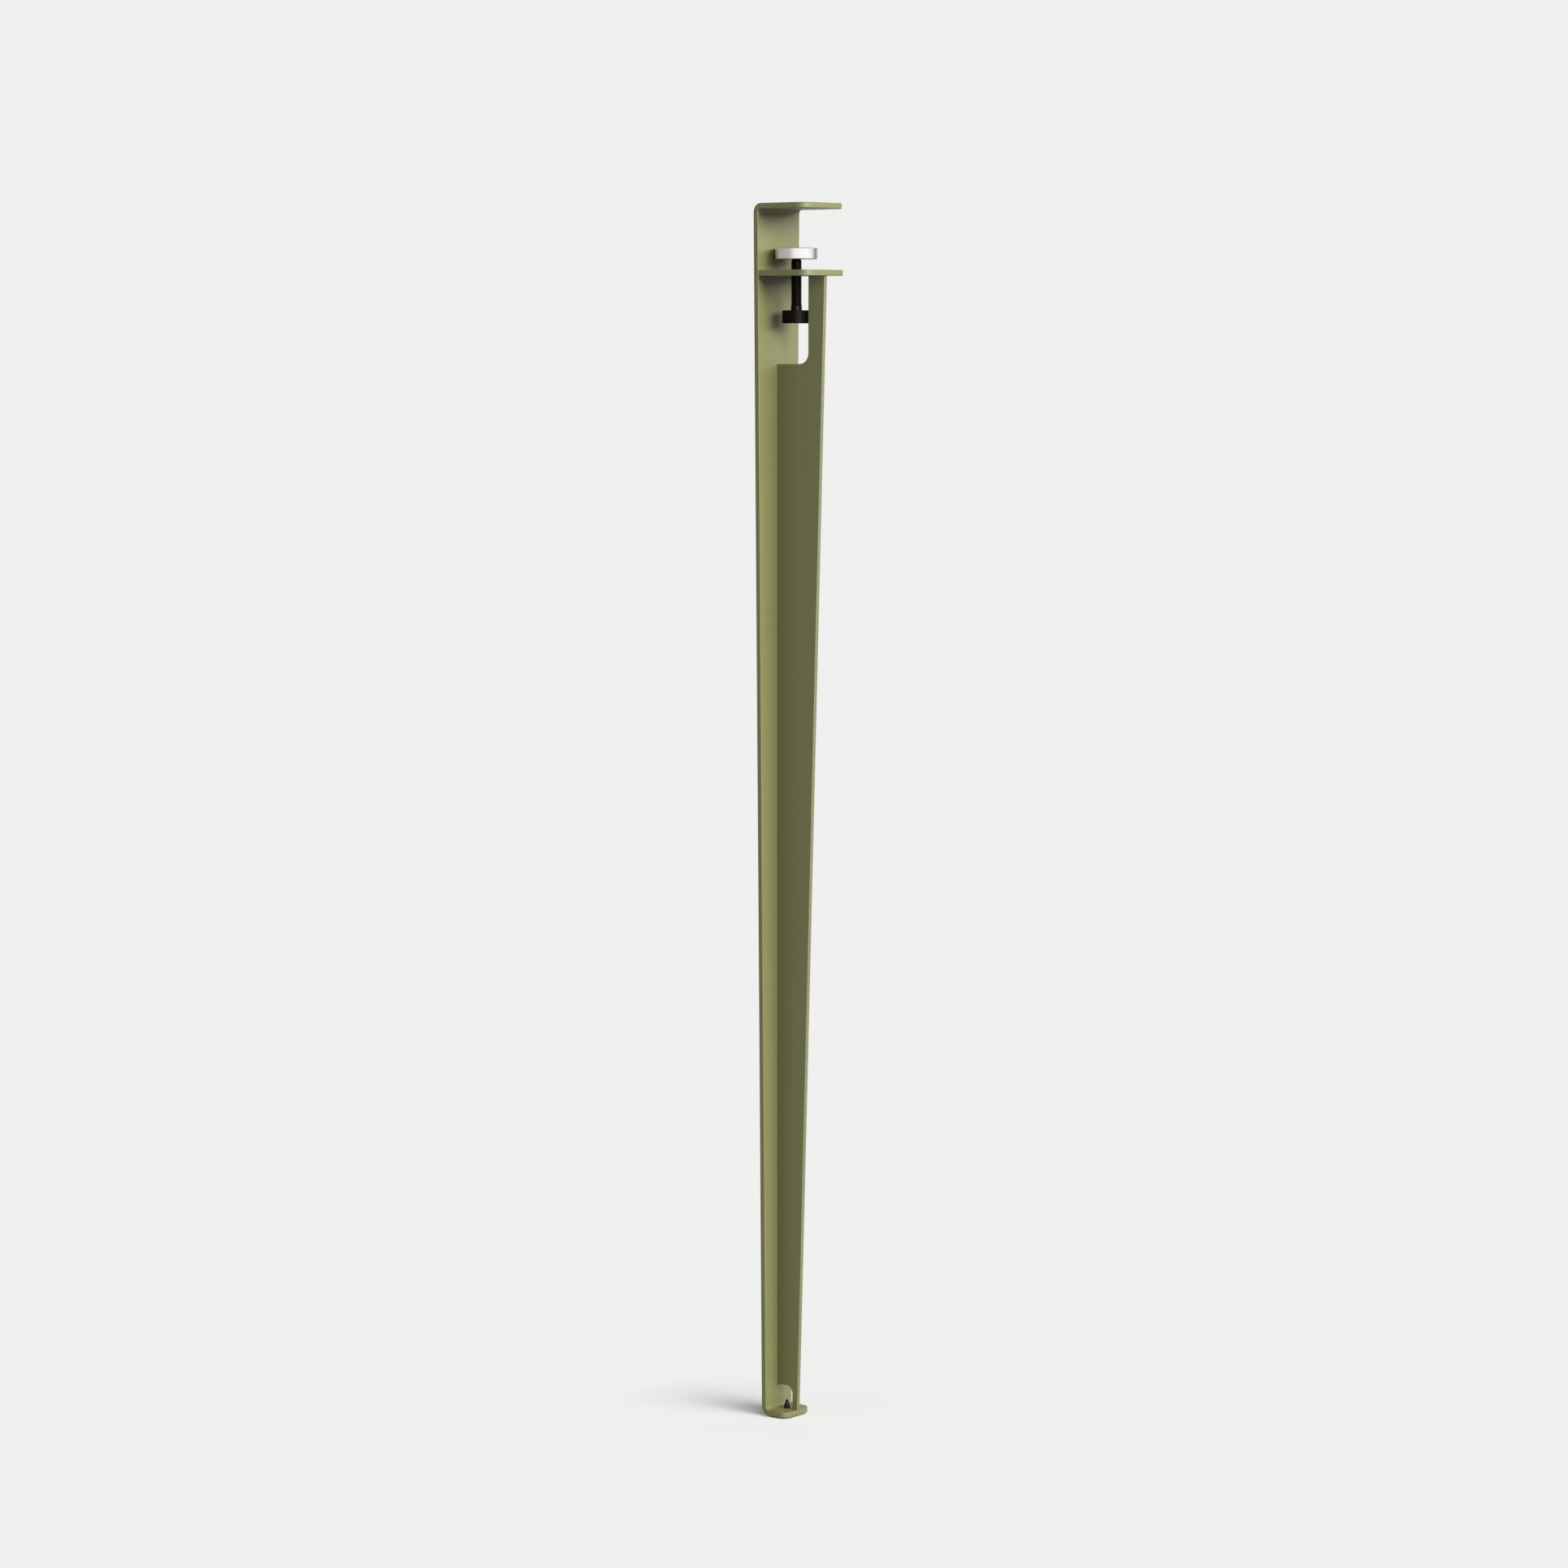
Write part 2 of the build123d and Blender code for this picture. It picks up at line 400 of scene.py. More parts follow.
def drawn_wire(finishes):
    """Spring wire with faint marks of its drawing die."""

    def make(shader):
        streak = shader.noise(scale=3000.0, detail=2.0)
        return shader.surface({
            "Base Color": shader.blend(
                streak, opaque(finishes.spring_steel, 0.85), opaque(finishes.spring_steel)
            ),
            "Metallic": 1.0,
            "Roughness": 0.28 + 0.12 * streak,
        })

    return once("drawn_wire", make)


def moulded_nylon(finishes):
    """Matt black plastic with a spark-eroded grain."""

    def make(shader):
        grain = shader.noise(scale=1900.0, detail=3.0)
        return shader.surface({
            "Base Color": shader.blend(grain, opaque(finishes.nylon, 0.8), opaque(finishes.nylon, 1.4)),
            "Roughness": 0.28 + 0.12 * grain,
            "Specular IOR Level": 0.25,
            "Normal": shader.bump(grain, distance=0.00002),
        })

    return once("moulded_nylon", make)


def run_on(bm, end, step):
    """Extends a path from its last vertex by a straight step and returns the new end."""
    new = bmesh.ops.extrude_vert_indiv(bm, verts=[end])["verts"]
    bmesh.ops.translate(bm, verts=new, vec=step)
    return new[0]


def fold_on(bm, end, centre, segments):
    """Extends a path from its last vertex by a quarter turn about Y and returns the new end."""
    fold = bmesh.ops.spin(
        bm, geom=[end], cent=centre, axis=(0, 1, 0), angle=math.pi / 2, steps=segments
    )
    return next(item for item in fold["geom_last"] if isinstance(item, bmesh.types.BMVert))


def flat_face(bm, points):
    """Makes a flat face on a few corner points and returns its vertices in the same order."""
    corners = [bm.verts.new(point) for point in points]
    bm.faces.new(corners)
    return corners


def round_corners(bm, corners, radius, segments):
    """Rounds corners of a flat outline."""
    bmesh.ops.bevel(
        bm, geom=corners, offset=radius, offset_type="OFFSET", segments=segments,
        profile=0.5, affect="VERTICES", material=-1,
    )


def pierce(bm, face, centre, radius, segments):
    """Cuts a round hole in a flat face that lies level, and returns the hole's rim."""
    rim = face.edges[:]
    circle = bmesh.ops.create_circle(
        bm, segments=segments, radius=radius, matrix=Matrix.Translation(centre)
    )["verts"]
    hole = list(dict.fromkeys(edge for vert in circle for edge in vert.link_edges))
    bmesh.ops.delete(bm, geom=[face], context="FACES_ONLY")
    bmesh.ops.triangle_fill(bm, edges=rim + hole, use_beauty=True)
    return hole


def soften(bm, amount, segments=3):
    """Rounds every sharp edge of a closed piece."""
    sharp = [edge for edge in bm.edges if edge.is_manifold and edge.calc_face_angle() > SHARP_ANGLE]
    bmesh.ops.bevel(
        bm, geom=sharp, offset=amount, offset_type="OFFSET", segments=segments,
        profile=0.5, affect="EDGES", material=-1, clamp_overlap=True,
    )


def turned(bm, section, closed, steps):
    """Turns a half section of radii and heights about the screw's axis."""
    verts = [bm.verts.new((SCREW_AXIS.x + radius, SCREW_AXIS.y, height)) for radius, height in section]
    pairs = list(zip(verts, verts[1:]))
    if closed:
        pairs.append((verts[-1], verts[0]))
    edges = [bm.edges.new(pair) for pair in pairs]
    bmesh.ops.spin(
        bm, geom=verts + edges, cent=(SCREW_AXIS.x, SCREW_AXIS.y, 0.0), axis=(0, 0, 1),
        angle=math.tau, steps=steps, use_merge=True,
    )
    bmesh.ops.remove_doubles(bm, verts=bm.verts[:], dist=MERGE_DISTANCE)


def set_radius(verts, axis, radius, height=None):
    """Moves vertices to a radius about an upright axis, the same all round or by the angle."""
    for vert in verts:
        out = Vector((vert.co.x - axis.x, vert.co.y - axis.y))
        angle = math.atan2(out.y, out.x)
        out = out.normalized() * (radius(angle) if callable(radius) else radius)
        vert.co.x = axis.x + out.x
        vert.co.y = axis.y + out.y
        if height is not None:
            vert.co.z = height


def double_rim(bm, rim):
    """Extrudes a rim in place and returns the vertices and edges of the new rim."""
    new = bmesh.ops.extrude_edge_only(bm, edges=rim)["geom"]
    verts = [item for item in new if isinstance(item, bmesh.types.BMVert)]
    edges = dict.fromkeys(edge for vert in verts for edge in vert.link_edges)
    return verts, [edge for edge in edges if set(edge.verts) <= set(verts)]


def grow_rim(bm, rim, axis, steps):
    """Extrudes a round rim through radii and heights, then closes it with a face."""
    for radius, height in steps:
        verts, rim = double_rim(bm, rim)
        set_radius(verts, axis, radius, height)
    bmesh.ops.contextual_create(bm, geom=rim)


def finish_piece(bm, name, material, body, node):
    """Makes a shaped mesh a piece of the leg that stands for a node."""
    bmesh.ops.recalc_face_normals(bm, faces=bm.faces[:])
    mesh = bpy.data.meshes.new(name)
    bm.to_mesh(mesh)
    bm.free()
    if not mesh.polygons:
        raise RuntimeError(f"{name} came out empty")
    mesh.shade_smooth()
    mesh.set_sharp_from_angle(angle=SMOOTH_ANGLE)
    mesh.materials.append(material)
    piece = bpy.data.objects.new(name, mesh)
    bpy.context.scene.collection.objects.link(piece)
    normals = piece.modifiers.new("flat_faces", "WEIGHTED_NORMAL")
    normals.keep_sharp = True
    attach(piece, body)
    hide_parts(node)
    return piece


def keep_from_shine(piece):
    """Leaves the shine panels out of a bright piece, which would show them as white patches."""
    bright = bpy.data.collections.new("bright_metal")
    bright.objects.link(piece)
    bright.collection_objects[0].light_linking.link_state = "EXCLUDE"
    for name, *_, lights in LEG_OT_stage.LAMPS:
        if not lights:
            bpy.data.objects[name].light_linking.receiver_collection = bright


class LEG_OT_spine(bpy.types.Operator):
    """Folds the sheet into foot, tapering strip and jaw, rounds its corners and coats it"""

    bl_idname = "leg.spine"
    bl_label = "Spine"

    def execute(self, context):
        sizes = context.scene.leg_sheet
        bend = sizes.bend + sizes.sheet
        jaw_under = SPINE_HIGH.z - sizes.sheet
        foot_end = SPINE_LOW.x + sizes.foot_length
        bm = bmesh.new()
        end = foot_tip = bm.verts.new((foot_end, 0.0, SPINE_LOW.z))
        end = run_on(bm, end, (bend - sizes.foot_length, 0.0, 0.0))
        end = fold_on(bm, end, (SPINE_LOW.x + bend, 0.0, SPINE_LOW.z + bend), sizes.segments)
        end = run_on(bm, end, (0.0, 0.0, SPINE_HIGH.z - SPINE_LOW.z - 2 * bend))
        end = fold_on(bm, end, (SPINE_LOW.x + bend, 0.0, SPINE_HIGH.z - bend), sizes.segments)
        jaw_tip = run_on(bm, end, (SPINE_HIGH.x - SPINE_LOW.x - bend, 0.0, 0.0))
        near_side = bm.verts[:]
        wide = bmesh.ops.extrude_edge_only(bm, edges=bm.edges[:])["geom"]
        far_side = [item for item in wide if isinstance(item, bmesh.types.BMVert)]
        for side, verts in ((-1, near_side), (1, far_side)):
            for vert in verts:
                climb = (vert.co.z - WEB_LOW.z) / (jaw_under - WEB_LOW.z)
                climb = min(max(climb, 0.0), 1.0)
                width = sizes.foot_width + (2 * SPINE_HIGH.y - sizes.foot_width) * climb
                vert.co.y = side * width / 2
        jaw_corners = [v for v in bm.verts if abs(v.co.x - jaw_tip.co.x) < MERGE_DISTANCE]
        foot_corners = [v for v in bm.verts if abs(v.co.x - foot_tip.co.x) < MERGE_DISTANCE]
        round_corners(bm, jaw_corners, sizes.jaw_corner, sizes.segments)
        round_corners(bm, foot_corners, sizes.foot_corner, sizes.segments)
        foot = min(bm.faces, key=lambda face: face.calc_center_median().z)
        pierce(bm, foot, (0.0, 0.0, SPINE_LOW.z), sizes.stud_hole, sizes.segments * 2)
        bmesh.ops.recalc_face_normals(bm, faces=bm.faces[:])
        strip = max(bm.faces, key=lambda face: face.calc_area())
        if strip.normal.x > 0:
            bmesh.ops.reverse_faces(bm, faces=bm.faces[:])
        bmesh.ops.solidify(bm, geom=bm.faces[:], thickness=sizes.sheet)
        soften(bm, sizes.softness)
        coat = olive_powder_coat(context.scene.leg_finishes)
        finish_piece(bm, "coated_spine", coat, "leg", "spine")
        return {"FINISHED"}


class LEG_OT_web(bpy.types.Operator):
    """Cuts the web's outline with its window and relief, gives it its thickness and coats it"""

    bl_idname = "leg.web"
    bl_label = "Web"

    def execute(self, context):
        sizes = context.scene.leg_sheet
        foot_end = SPINE_LOW.x + sizes.foot_length
        ankle_face = foot_end - sizes.ankle
        neck_face = WEB_HIGH.x - sizes.neck
        relief_top = WEB_LOW.z + sizes.relief_height
        sill = WEB_HIGH.z - sizes.window_height
        seat = sizes.seat
        lean = (WEB_HIGH.x - foot_end) / (WEB_HIGH.z - WEB_LOW.z)
        outline = (
            (WEB_LOW.x - seat, relief_top),
            (ankle_face, relief_top),
            (ankle_face, WEB_LOW.z - seat),
            (foot_end - lean * seat, WEB_LOW.z - seat),
            (WEB_HIGH.x + lean * seat, WEB_HIGH.z + seat),
            (neck_face, WEB_HIGH.z + seat),
            (neck_face, sill),
            (WEB_LOW.x - seat, sill),
        )
        bm = bmesh.new()
        corners = flat_face(bm, [(x, WEB_LOW.y, z) for x, z in outline])
        relief, window = corners[1], corners[6]
        round_corners(bm, [relief], sizes.relief_corner, sizes.segments)
        round_corners(bm, [window], sizes.window_corner, sizes.segments)
        raised = bmesh.ops.extrude_face_region(bm, geom=bm.faces[:])["geom"]
        verts = [item for item in raised if isinstance(item, bmesh.types.BMVert)]
        bmesh.ops.translate(bm, verts=verts, vec=(0.0, WEB_HIGH.y - WEB_LOW.y, 0.0))
        bmesh.ops.recalc_face_normals(bm, faces=bm.faces[:])
        soften(bm, sizes.softness)
        coat = olive_powder_coat(context.scene.leg_finishes)
        finish_piece(bm, "coated_web", coat, "leg", "web")
        return {"FINISHED"}


class LEG_OT_shelf(bpy.types.Operator):
    """Cuts the shelf with its rounded free corners and tapped hole, and coats it"""

    bl_idname = "leg.shelf"
    bl_label = "Shelf"

    def execute(self, context):
        sizes = context.scene.leg_sheet
        bm = bmesh.new()
        corners = flat_face(bm, [
            (SHELF_LOW.x - sizes.seat, SHELF_LOW.y, SHELF_HIGH.z),
            (SHELF_HIGH.x, SHELF_LOW.y, SHELF_HIGH.z),
            (SHELF_HIGH.x, SHELF_HIGH.y, SHELF_HIGH.z),
            (SHELF_LOW.x - sizes.seat, SHELF_HIGH.y, SHELF_HIGH.z),
        ])
        round_corners(bm, corners[1:3], sizes.shelf_corner, sizes.segments)
        centre = (SCREW_AXIS.x, SCREW_AXIS.y, SHELF_HIGH.z)
        pierce(bm, bm.faces[:][0], centre, sizes.tapped_hole, sizes.segments * 3)
        bmesh.ops.recalc_face_normals(bm, faces=bm.faces[:])
        if bm.faces[:][0].normal.z < 0:
            bmesh.ops.reverse_faces(bm, faces=bm.faces[:])
        bmesh.ops.solidify(bm, geom=bm.faces[:], thickness=SHELF_HIGH.z - SHELF_LOW.z)
        soften(bm, sizes.softness)
        coat = olive_powder_coat(context.scene.leg_finishes)
        finish_piece(bm, "coated_shelf", coat, "leg", "shelf")
        return {"FINISHED"}


class LEG_OT_clamp_screw(bpy.types.Operator):
    """Winds the thread, then grows the shank and socket head below it and the spigot above it"""

    bl_idname = "leg.clamp_screw"
    bl_label = "Clamp screw"

    def execute(self, context):
        sizes = context.scene.leg_clamp
        bm = bmesh.new()
        self.wind_thread(bm, sizes)
        lower = self.trim(bm, sizes.shank_top, -1)
        upper = self.trim(bm, sizes.shoulder, 1)
        self.fade_ends(bm, sizes)
        head_top = SCREW_LOW.z + sizes.head_height
        head = (SCREW_HIGH.x - SCREW_LOW.x) / 2

        def hexagon(angle):
            sector = math.pi / 3
            return sizes.key / 2 / math.cos(angle % sector - sector / 2)

        grow_rim(bm, lower, SCREW_AXIS, (
            (sizes.shank, head_top),
            (head, head_top),
            (head, SCREW_LOW.z + sizes.head_chamfer),
            (head - sizes.head_chamfer, SCREW_LOW.z),
            (hexagon, SCREW_LOW.z),
            (hexagon, SCREW_LOW.z + sizes.key_depth),
        ))
        groove = DISC_LOW.z + sizes.groove
        waist = sizes.spigot - sizes.groove_reach
        grow_rim(bm, upper, SCREW_AXIS, (
            (sizes.spigot, sizes.shoulder),
            (sizes.spigot, groove - sizes.groove_reach),
            (waist, groove - sizes.groove_reach),
            (waist, groove + sizes.groove_reach),
            (sizes.spigot, groove + sizes.groove_reach),
            (sizes.spigot, SCREW_HIGH.z - sizes.groove_reach),
            (sizes.spigot - sizes.groove_reach, SCREW_HIGH.z),
        ))
        black = blackened_steel(context.scene.leg_finishes, sizes)
        finish_piece(bm, "threaded_screw", black, "screw", "clamp_screw")
        return {"FINISHED"}

    @staticmethod
    def wind_thread(bm, sizes):
        """One pitch of the thread's outline, wound up past both ends of the thread."""
        flank = (sizes.crest - sizes.root) * math.tan(THREAD_FLANK)
        crest_flat = sizes.pitch * THREAD_CREST
        root_flat = sizes.pitch - crest_flat - 2 * flank
        start = sizes.shank_top - THREAD_SPARE_TURNS * sizes.pitch
        turns = math.ceil((sizes.shoulder - start) / sizes.pitch) + 1
        outline = (
            (sizes.root, 0.0),
            (sizes.root, root_flat),
            (sizes.crest, root_flat + flank),
            (sizes.crest, root_flat + flank + crest_flat),
            (sizes.root, sizes.pitch),
        )
        verts = [
            bm.verts.new((SCREW_AXIS.x + radius, SCREW_AXIS.y, start + rise)) for radius, rise in outline
        ]
        edges = [bm.edges.new(pair) for pair in zip(verts, verts[1:])]
        bmesh.ops.spin(
            bm, geom=verts + edges, cent=(SCREW_AXIS.x, SCREW_AXIS.y, 0.0), axis=(0, 0, 1),
            dvec=(0.0, 0.0, sizes.pitch / sizes.thread_segments),
            angle=math.tau * turns, steps=sizes.thread_segments * turns,
        )
        bmesh.ops.remove_doubles(bm, verts=bm.verts[:], dist=THREAD_MERGE_DISTANCE)

    @staticmethod
    def trim(bm, height, side):
        """Cuts the thread off level and returns the cut's rim."""
        cut = bmesh.ops.bisect_plane(
            bm, geom=bm.verts[:] + bm.edges[:] + bm.faces[:], dist=MERGE_DISTANCE,
            plane_co=(0.0, 0.0, height), plane_no=(0.0, 0.0, side), clear_outer=True,
        )["geom_cut"]
        return [item for item in cut if isinstance(item, bmesh.types.BMEdge)]

    @staticmethod
    def fade_ends(bm, sizes):
        """Runs the grooves out into the shank and chamfers the thread's upper end."""
        lead = 2 * sizes.root - sizes.crest
        for vert in bm.verts:
            out = Vector((vert.co.x - SCREW_AXIS.x, vert.co.y - SCREW_AXIS.y)).length
            least = sizes.shank - (vert.co.z - sizes.shank_top) * THREAD_RUN_OUT
            most = lead + sizes.shoulder - vert.co.z
            if vert.co.z - sizes.shank_top < MERGE_DISTANCE:
                most = sizes.shank
            set_radius([vert], SCREW_AXIS, min(max(out, least), most))


class LEG_OT_hand_knob(bpy.types.Operator):
    """Turns the knob's cup and presses fine ridges into its side"""

    bl_idname = "leg.hand_knob"
    bl_label = "Hand knob"

    def execute(self, context):
        sizes = context.scene.leg_clamp
        knob = (KNOB_HIGH.x - KNOB_LOW.x) / 2
        head = (SCREW_HIGH.x - SCREW_LOW.x) / 2
        roof = SCREW_LOW.z + sizes.head_height
        bevel = sizes.knob_chamfer
        section = (
            (sizes.shank, roof),
            (sizes.shank, KNOB_HIGH.z),
            (knob - bevel, KNOB_HIGH.z),
            (knob, KNOB_HIGH.z - bevel),
            (knob, KNOB_LOW.z + bevel),
            (knob - bevel, KNOB_LOW.z),
            (head, KNOB_LOW.z),
            (head, roof),
        )
        bm = bmesh.new()
        steps = 2 * sizes.knurl_teeth
        turned(bm, section, closed=True, steps=steps)
        side = knob - bevel / 2
        for vert in bm.verts:
            out = Vector((vert.co.x - SCREW_AXIS.x, vert.co.y - SCREW_AXIS.y))
            place = round(math.atan2(out.y, out.x) / math.tau * steps)
            if out.length > side and place % 2:
                set_radius([vert], SCREW_AXIS, knob - sizes.knurl_depth)
        black = blackened_steel(context.scene.leg_finishes, sizes)
        finish_piece(bm, "knurled_knob", black, "screw", "hand_knob")
        return {"FINISHED"}


class LEG_OT_pressure_disc(bpy.types.Operator):
    """Turns the disc with its chamfers, spigot hole and ring groove, and finishes its snap ring"""

    bl_idname = "leg.pressure_disc"
    bl_label = "Pressure disc"

    def execute(self, context):
        sizes = context.scene.leg_clamp
        disc = (DISC_HIGH.x - DISC_LOW.x) / 2
        bore = sizes.spigot + SWIVEL_GAP
        roof = DISC_HIGH.z - sizes.disc_roof
        groove = DISC_LOW.z + sizes.groove
        deep = bore + sizes.groove_reach
        bevel = sizes.disc_chamfer
        section = (
            (0.0, roof),
            (bore, roof),
            (bore, groove + sizes.groove_reach),
            (deep, groove + sizes.groove_reach),
            (deep, groove - sizes.groove_reach),
            (bore, groove - sizes.groove_reach),
            (bore, DISC_LOW.z),
            (disc - bevel, DISC_LOW.z),
            (disc, DISC_LOW.z + bevel),
            (disc, DISC_HIGH.z - bevel),
            (disc - bevel, DISC_HIGH.z),
            (0.0, DISC_HIGH.z),
        )
        bm = bmesh.new()
        turned(bm, section, closed=False, steps=sizes.turn_segments)
        finishes = context.scene.leg_finishes
        metal = turned_aluminium(finishes)
        piece = finish_piece(bm, "turned_disc", metal, "pad", "pressure_disc")
        keep_from_shine(piece)
        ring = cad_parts["disc_snap_ring"]
        ring.data.materials.clear()
        ring.data.materials.append(drawn_wire(finishes))
        return {"FINISHED"}


class LEG_OT_foot_glide(bpy.types.Operator):
    """Moulds the pad under the foot and the barbed stud that holds it"""

    bl_idname = "leg.foot_glide"
    bl_label = "Foot glide"

    def execute(self, context):
        sizes = context.scene.leg_glide
        foot_top = WEB_LOW.z
        barb_top = foot_top + sizes.barb_height
        rise = GLIDE_HIGH.z - barb_top
        base = sizes.barb - sizes.notch
        point = []
        for step in range(1, POINT_STEPS + 1):
            climb = step / POINT_STEPS
            radius = sizes.tip + (base - sizes.tip) * (1 - climb ** POINT_CURVE)
            point.append((radius, barb_top + rise * climb))
        bm = bmesh.new()
        corners = flat_face(bm, [
            (GLIDE_LOW.x, GLIDE_LOW.y, sizes.pad),
            (GLIDE_HIGH.x, GLIDE_LOW.y, sizes.pad),
            (GLIDE_HIGH.x, GLIDE_HIGH.y, sizes.pad),
            (GLIDE_LOW.x, GLIDE_HIGH.y, sizes.pad),
        ])
        round_corners(bm, corners, sizes.pad_corner, sizes.segments // 4)
        outline = bm.edges[:]
        stud_axis = Vector((0.0, 0.0, 0.0))
        hole = pierce(bm, bm.faces[:][0], (0.0, 0.0, sizes.pad), sizes.stem, sizes.segments)
        verts, rim = double_rim(bm, outline)
        bmesh.ops.translate(bm, verts=verts, vec=(0.0, 0.0, GLIDE_LOW.z - sizes.pad))
        bmesh.ops.contextual_create(bm, geom=rim)
        grow_rim(bm, hole, stud_axis, (
            (sizes.stem, foot_top),
            (sizes.barb, foot_top),
            (sizes.barb, barb_top - 2 * sizes.notch),
            (base, barb_top - sizes.notch),
            (base, barb_top),
            *point,
        ))
        black = moulded_nylon(context.scene.leg_finishes)
        finish_piece(bm, "moulded_glide", black, "leg", "foot_glide")
        return {"FINISHED"}


class LEG_OT_stage(bpy.types.Operator):
    """Lays the pale floor, hangs the lamps, lights the room and sets up the camera"""

    bl_idname = "leg.stage"
    bl_label = "Stage"

    # Each lamp's name, turn from +X, climb, half its width and height as angles, radiance,
    # and whether it lights the faces or else only shines in them
    LAMPS = (
        ("key_panel", 4.0, 18.0, 20.0, 10.0, 9.6, True),
        ("top_panel", -20.0, 36.0, 21.0, 10.0, 4.3, True),
        ("left_shine", -28.0, 2.0, 15.0, 8.0, 23.0, False),
        ("right_shine", 34.0, 14.0, 14.0, 6.0, 10.0, False),
    )
    # The turn from +X and the tightness of the soft light in front and behind
    FRONT_LOBE = (-120.0, 10.0)
    BACK_LOBE = (145.0, 2.0)
    # The room's brightness as shiny faces show it, by the turn from +X
    ROOM = (
        (-180.0, 0.70), (-158.0, 0.70), (-150.0, 0.50), (-82.0, 0.50), (-70.0, 1.14),
        (-20.0, 1.23), (18.0, 1.26), (29.0, 1.15), (42.0, 1.00), (55.0, 0.90), (60.0, 0.04),
        (84.0, 0.04), (89.0, 0.86), (180.0, 0.86),
    )

    def execute(self, context):
        settings = context.scene.leg_stage
        context.scene.view_settings.view_transform = "Standard"
        self.lay_floor(context, settings)
        self.light_room(context, settings)
        for lamp in self.LAMPS:
            self.hang_panel(context, settings, *lamp)
        self.set_camera(context, settings)
        return {"FINISHED"}

    @staticmethod
    def lay_floor(context, settings):
        """A wide round floor that takes the leg's shadow and fades into the backdrop."""
        bm = bmesh.new()
        bmesh.ops.create_circle(bm, cap_ends=True, segments=FLOOR_SEGMENTS, radius=settings.floor_radius)
        mesh = bpy.data.meshes.new("pale_floor")
        bm.to_mesh(mesh)
        bm.free()
        floor = bpy.data.objects.new("pale_floor", mesh)
        floor.visible_diffuse = False
        context.scene.collection.objects.link(floor)
        shader = Shader(bpy.data.materials.new("pale_floor"))
        reach = shader.add(
            "ShaderNodeVectorMath", {"operation": "LENGTH"}, {0: shader.place()}, out="Value"
        )
        fade = shader.add(
            "ShaderNodeMapRange",
            {"clamp": True, "interpolation_type": "LINEAR"},
            {"Value": reach, "From Min": 0.0, "From Max": settings.floor_fade},
        )
        paint = opaque(settings.floor, settings.floor_gain)
        lit = shader.add("ShaderNodeBsdfDiffuse", None, {"Color": paint})
        glow = shader.add("ShaderNodeEmission", None, {"Color": opaque(settings.backdrop)})
        mixed = shader.add("ShaderNodeMixShader", None, {0: fade, 1: lit, 2: glow})
        shader.add("ShaderNodeOutputMaterial", None, {"Surface": mixed})
        mesh.materials.append(shader.owner)

    def light_room(self, context, settings):
        """Soft light in front and behind, a pale backdrop, and a room that shiny faces show."""
        world = bpy.data.worlds.new("pale_room")
        context.scene.world = world
        shader = Shader(world)
        way = shader.add("ShaderNodeTexCoord", out="Generated")

        def lobe(turn, tightness):
            """How squarely a direction faces a turn from +X, raised to a power."""
            turn = math.radians(turn)
            facing = shader.add(
                "ShaderNodeVectorMath", {"operation": "DOT_PRODUCT"},
                {0: way, 1: (math.cos(turn), math.sin(turn), 0.0)}, out="Value",
            )
            facing = shader.add("ShaderNodeMath", {"operation": "MAXIMUM"}, {0: facing, 1: 0.0})
            return facing.math("POWER", facing, tightness)

        fill = settings.front_fill * lobe(*self.FRONT_LOBE) + settings.back_fill * lobe(*self.BACK_LOBE)
        soft = shader.add(
            "ShaderNodeBackground", None,
            {"Color": opaque(settings.backdrop), "Strength": settings.ambient + fill},
        )
        bearing = shader.add(
            "ShaderNodeTexGradient", {"gradient_type": "RADIAL"}, {"Vector": way}, out="Fac"
        )
        brightest = max(value for angle, value in self.ROOM)
        room = shader.add(
            "ShaderNodeValToRGB",
            {"stops": [((angle + 180.0) / 360.0, value / brightest) for angle, value in self.ROOM]},
            {"Fac": bearing},
        )
        mirrored = shader.add("ShaderNodeBackground", None, {"Color": room, "Strength": brightest})
        pale = shader.add("ShaderNodeBackground", None, {"Color": opaque(settings.backdrop)})
        glossy = (
            shader.add("ShaderNodeLightPath", out="Is Glossy Ray")
            + shader.add("ShaderNodeLightPath", out="Is Transmission Ray")
        )
        # The room shows in shiny faces, but doesn't light the matt faces beside them
        glossy = glossy * shader.unbounced()
        camera = shader.add("ShaderNodeLightPath", out="Is Camera Ray")
        mixed = shader.add("ShaderNodeMixShader", None, {0: glossy, 1: soft, 2: mirrored})
        mixed = shader.add("ShaderNodeMixShader", None, {0: camera, 1: mixed, 2: pale})
        shader.add("ShaderNodeOutputWorld", None, {"Surface": mixed})

    @staticmethod
    def hang_panel(context, settings, name, turn, climb, half_width, half_height, radiance, lights):
        """A soft panel that faces the leg, and lights its faces or else only shines in them."""
        turn, climb = math.radians(turn), math.radians(climb)
        way = Vector((
            math.cos(climb) * math.cos(turn), math.cos(climb) * math.sin(turn), math.sin(climb)
        ))
        lamp = bpy.data.lights.new(name, "AREA")
        lamp.shape = "RECTANGLE"
        lamp.size = 2 * settings.lamp_distance * math.tan(math.radians(half_width))
        lamp.size_y = 2 * settings.lamp_distance * math.tan(math.radians(half_height))
        # A panel's power is its radiance times pi and its area
        lamp.energy = radiance * math.pi * lamp.size * lamp.size_y
        panel = bpy.data.objects.new(name, lamp)
        panel.location = Vector((0.0, 0.0, settings.lamp_aim)) + way * settings.lamp_distance
        panel.rotation_euler = (-way).to_track_quat("-Z", "Y").to_euler()
        panel.visible_camera = False
        panel.visible_diffuse = lights
        panel.visible_glossy = not lights
        if not lights:
            shader = Shader(lamp)
            shine = shader.add("ShaderNodeEmission", None, {"Strength": shader.unbounced()})
            shader.add("ShaderNodeOutputLight", None, {"Surface": shine})
        context.scene.collection.objects.link(panel)

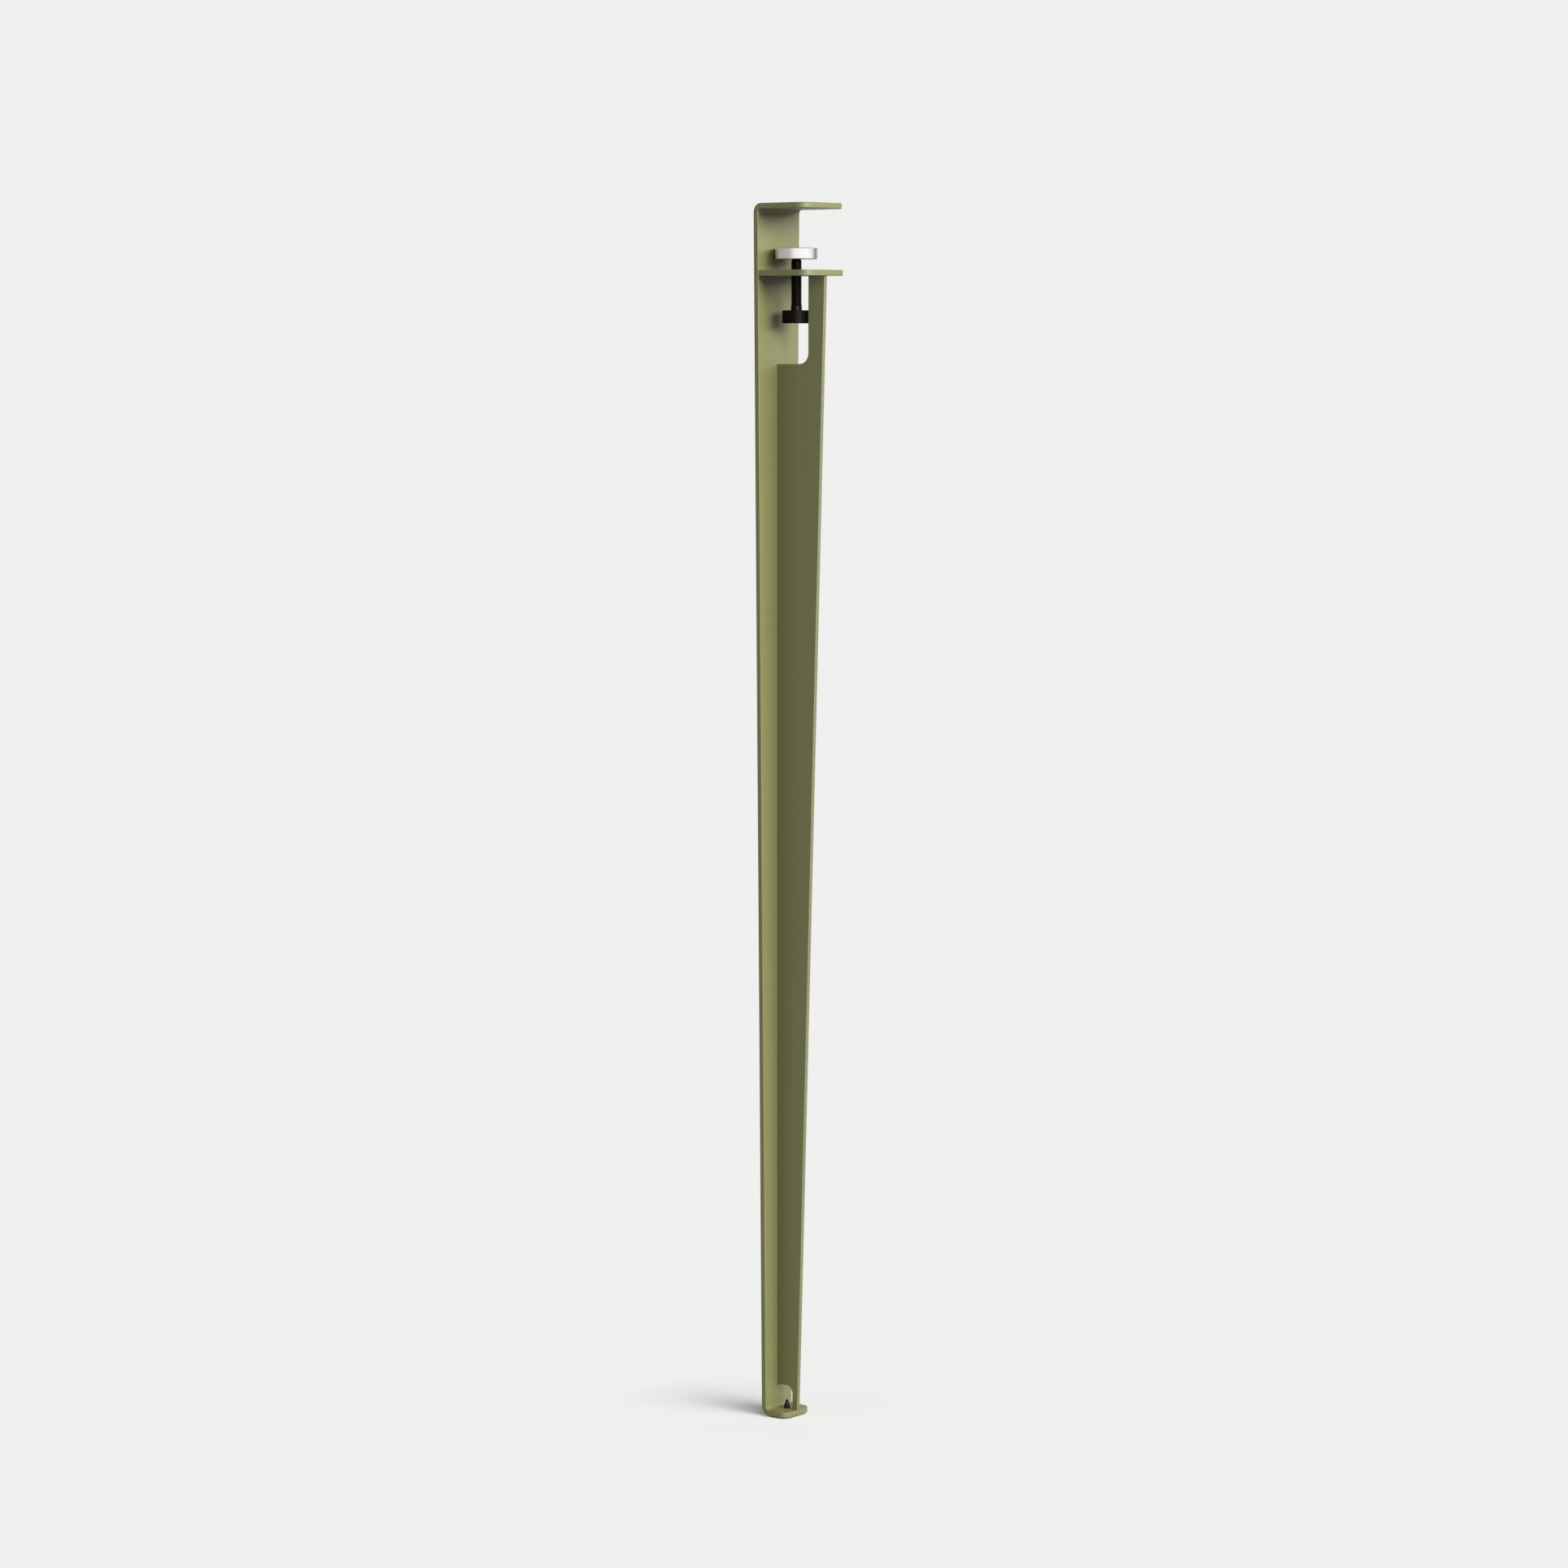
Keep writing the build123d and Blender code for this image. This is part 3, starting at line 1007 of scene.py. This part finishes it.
    @staticmethod
    def set_camera(context, settings):
        """The camera at the photograph's view, with no shift and no blur."""
        data = bpy.data.cameras.new("camera")
        data.lens = settings.lens
        data.sensor_width = settings.sensor
        camera = bpy.data.objects.new("camera", data)
        level = math.cos(settings.elevation)
        back = Vector((
            math.sin(settings.azimuth) * level,
            -math.cos(settings.azimuth) * level,
            math.sin(settings.elevation),
        ))
        camera.location = Vector(settings.target) + back * settings.distance
        camera.rotation_euler = (-back).to_track_quat("-Z", "Y").to_euler()
        context.scene.collection.objects.link(camera)
        context.scene.camera = camera


class LEG_PT_build(bpy.types.Panel):
    """Lists the pieces and the sizes that shape them"""

    bl_idname = "LEG_PT_build"
    bl_label = "Table leg"
    bl_space_type = "VIEW_3D"
    bl_region_type = "UI"
    bl_category = "Table leg"

    def draw(self, context):
        for operator in OPERATORS:
            self.layout.operator(operator.bl_idname)
        for name in GROUPS:
            box = self.layout.box()
            group = getattr(context.scene, name)
            for size in group.bl_rna.properties:
                if not size.is_readonly and size.identifier != "name":
                    box.prop(group, size.identifier)


GROUPS = {
    "leg_sheet": SheetSizes,
    "leg_clamp": ClampSizes,
    "leg_glide": GlideSizes,
    "leg_finishes": Finishes,
    "leg_stage": StageSettings,
}
OPERATORS = (
    LEG_OT_stage,
    LEG_OT_spine,
    LEG_OT_web,
    LEG_OT_shelf,
    LEG_OT_clamp_screw,
    LEG_OT_hand_knob,
    LEG_OT_pressure_disc,
    LEG_OT_foot_glide,
)


def register():
    for cls in (*GROUPS.values(), *OPERATORS, LEG_PT_build):
        bpy.utils.register_class(cls)
    for name, group in GROUPS.items():
        setattr(bpy.types.Scene, name, PointerProperty(type=group))


def unregister():
    for name in GROUPS:
        delattr(bpy.types.Scene, name)
    for cls in reversed((*GROUPS.values(), *OPERATORS, LEG_PT_build)):
        bpy.utils.unregister_class(cls)


def main():
    """Registers the add-on and builds every piece."""
    register()
    bpy.ops.leg.stage()
    bpy.ops.leg.spine()
    bpy.ops.leg.web()
    bpy.ops.leg.shelf()
    bpy.ops.leg.clamp_screw()
    bpy.ops.leg.hand_knob()
    bpy.ops.leg.pressure_disc()
    bpy.ops.leg.foot_glide()


if __name__ == "__main__":
    main()
